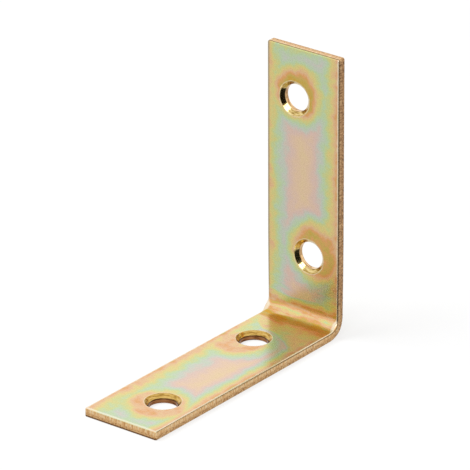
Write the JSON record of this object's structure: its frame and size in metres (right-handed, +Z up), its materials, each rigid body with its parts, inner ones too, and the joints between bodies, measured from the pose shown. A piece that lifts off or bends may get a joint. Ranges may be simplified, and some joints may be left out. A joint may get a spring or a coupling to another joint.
{
  "type": "angle bracket",
  "caption": "Narrow right-angle bracket folded from one strip of sheet steel, with staggered countersunk screw holes in each leg and a yellow passivated zinc finish.",
  "frame": {"origin": "middle of the footprint, on the base: halfway between the outer corner and the level leg's free end, at the strip's middle", "axes": "+X across the strip; +Y from the level leg's free end towards the upright leg; +Z up along the upright leg"},
  "size_m": [0.015, 0.05, 0.05],
  "materials": {
    "passivated_zinc": "yellow iridescent passivated zinc plating on steel, golden brown on the sheared edges"
  },
  "bodies": {
    "root": {"angle_bracket": "passivated_zinc"}
  },
  "joints": []
}
